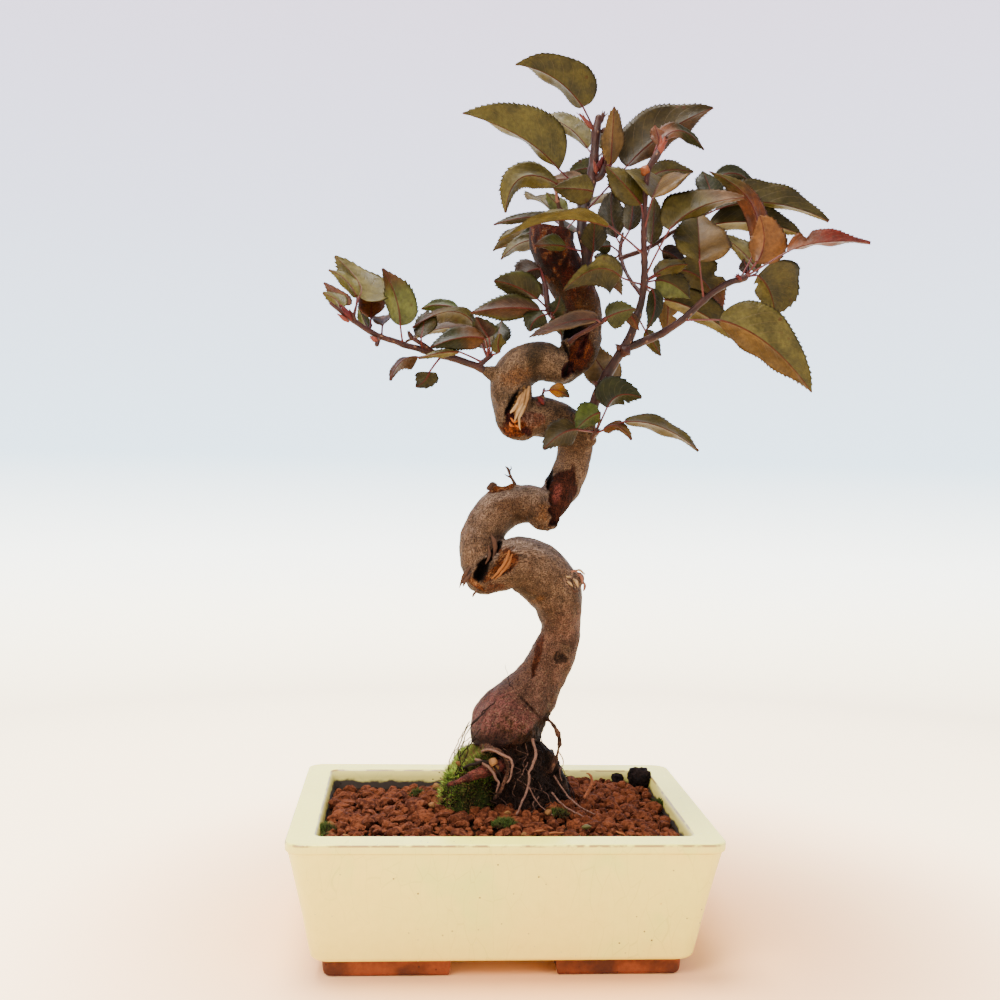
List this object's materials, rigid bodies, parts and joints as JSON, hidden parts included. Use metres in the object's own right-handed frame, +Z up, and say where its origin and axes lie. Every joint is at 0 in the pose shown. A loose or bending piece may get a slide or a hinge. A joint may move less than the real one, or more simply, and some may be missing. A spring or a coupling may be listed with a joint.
{
  "type": "apple bonsai in a pot",
  "caption": "Trained apple tree with a strongly bent trunk and toothed leaves, standing in a cream glazed oblong pot of clay granules with a patch of moss.",
  "frame": {"origin": "middle of the underside of the whole part's box, on the plane that the pot's four feet stand on", "axes": "+Z up along the tree, +X along the pot's length to the right as seen from the front, +Y from the front to the back"},
  "size_m": [0.252, 0.137, 0.3962],
  "materials": {
    "pot_glaze": "gloss",
    "drain_mesh": "matte",
    "soil": "matte",
    "granules": "matte",
    "moss": "matte",
    "peat": "matte",
    "bark": "matte",
    "foliage": "satin"
  },
  "bodies": {
    "root": {"pot": "pot_glaze", "drain_screen_left": "drain_mesh", "drain_screen_right": "drain_mesh", "soil_fill": "soil", "granule_topping": "granules", "moss_patch": "moss", "peat_lump_large": "peat", "peat_lump_small": "peat", "trunk_with_roots": "bark", "shoot_left_branch": "foliage", "shoot_right_branch": "foliage", "shoot_crown_leader": "foliage", "shoot_left_crown": "foliage", "shoot_cross_twig": "foliage", "shoot_lower_spur": "foliage", "shoot_yellow_leaf": "foliage", "shoot_back_spur": "foliage"}
  },
  "joints": []
}
